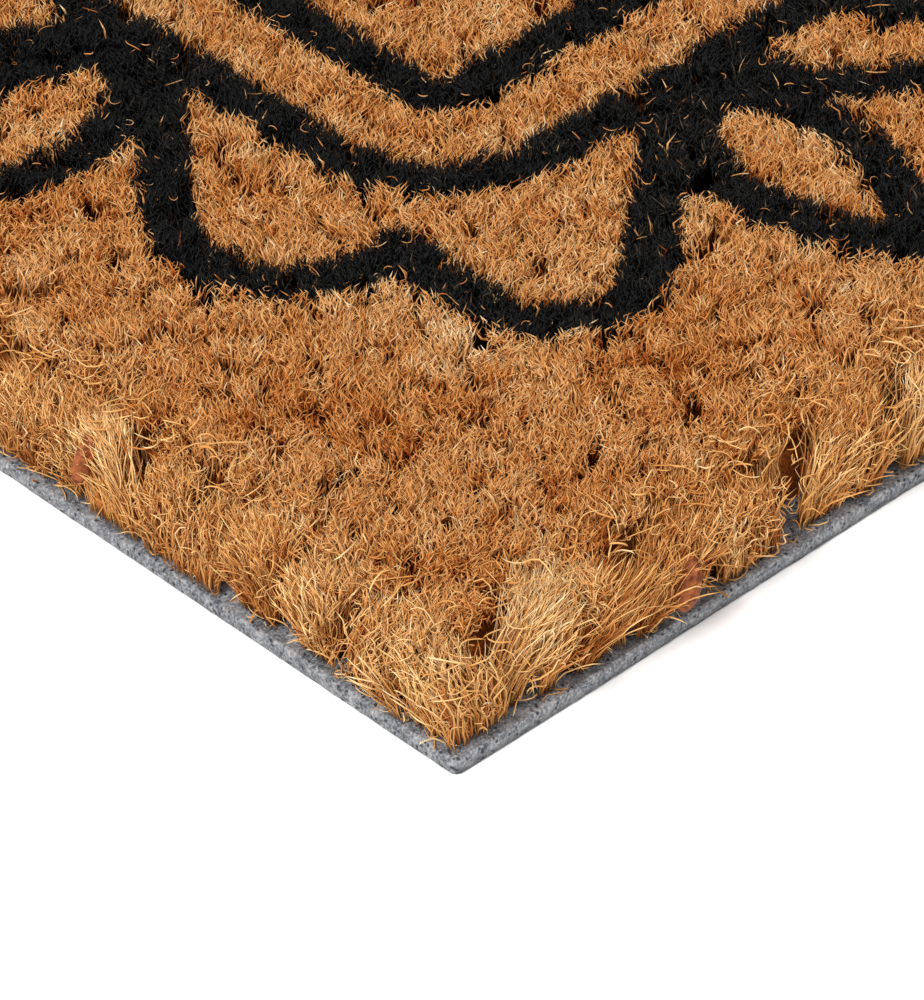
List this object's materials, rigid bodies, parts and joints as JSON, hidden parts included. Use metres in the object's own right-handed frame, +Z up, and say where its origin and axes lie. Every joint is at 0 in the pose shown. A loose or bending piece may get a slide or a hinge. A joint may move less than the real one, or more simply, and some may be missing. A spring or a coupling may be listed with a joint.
{
  "type": "door mat",
  "caption": "Rectangular coir door mat on a grey PVC backing, with a black double border line, lobed corners and leaves printed in the upright pile.",
  "frame": {"origin": "centre of the underside of the backing", "axes": "+X along the long side, +Y along the short side, +Z up through the pile"},
  "size_m": [0.6, 0.4, 0.015],
  "materials": {
    "backing": "matt speckled PVC",
    "natural_coir": "coarse natural coir fibre, cut ends up",
    "dyed_coir": "coarse coir fibre dyed black"
  },
  "bodies": {
    "root": {"pvc_backing": "backing", "edge_pile": "natural_coir", "lobe_pile": "natural_coir", "leaf_pile": "natural_coir", "frame_pile": "natural_coir", "centre_pile": "natural_coir", "spray_pile": "natural_coir", "outer_line": "dyed_coir", "inner_line": "dyed_coir", "corner_lobes": "dyed_coir", "border_leaves": "dyed_coir", "leaf_spray": "dyed_coir"}
  },
  "joints": []
}
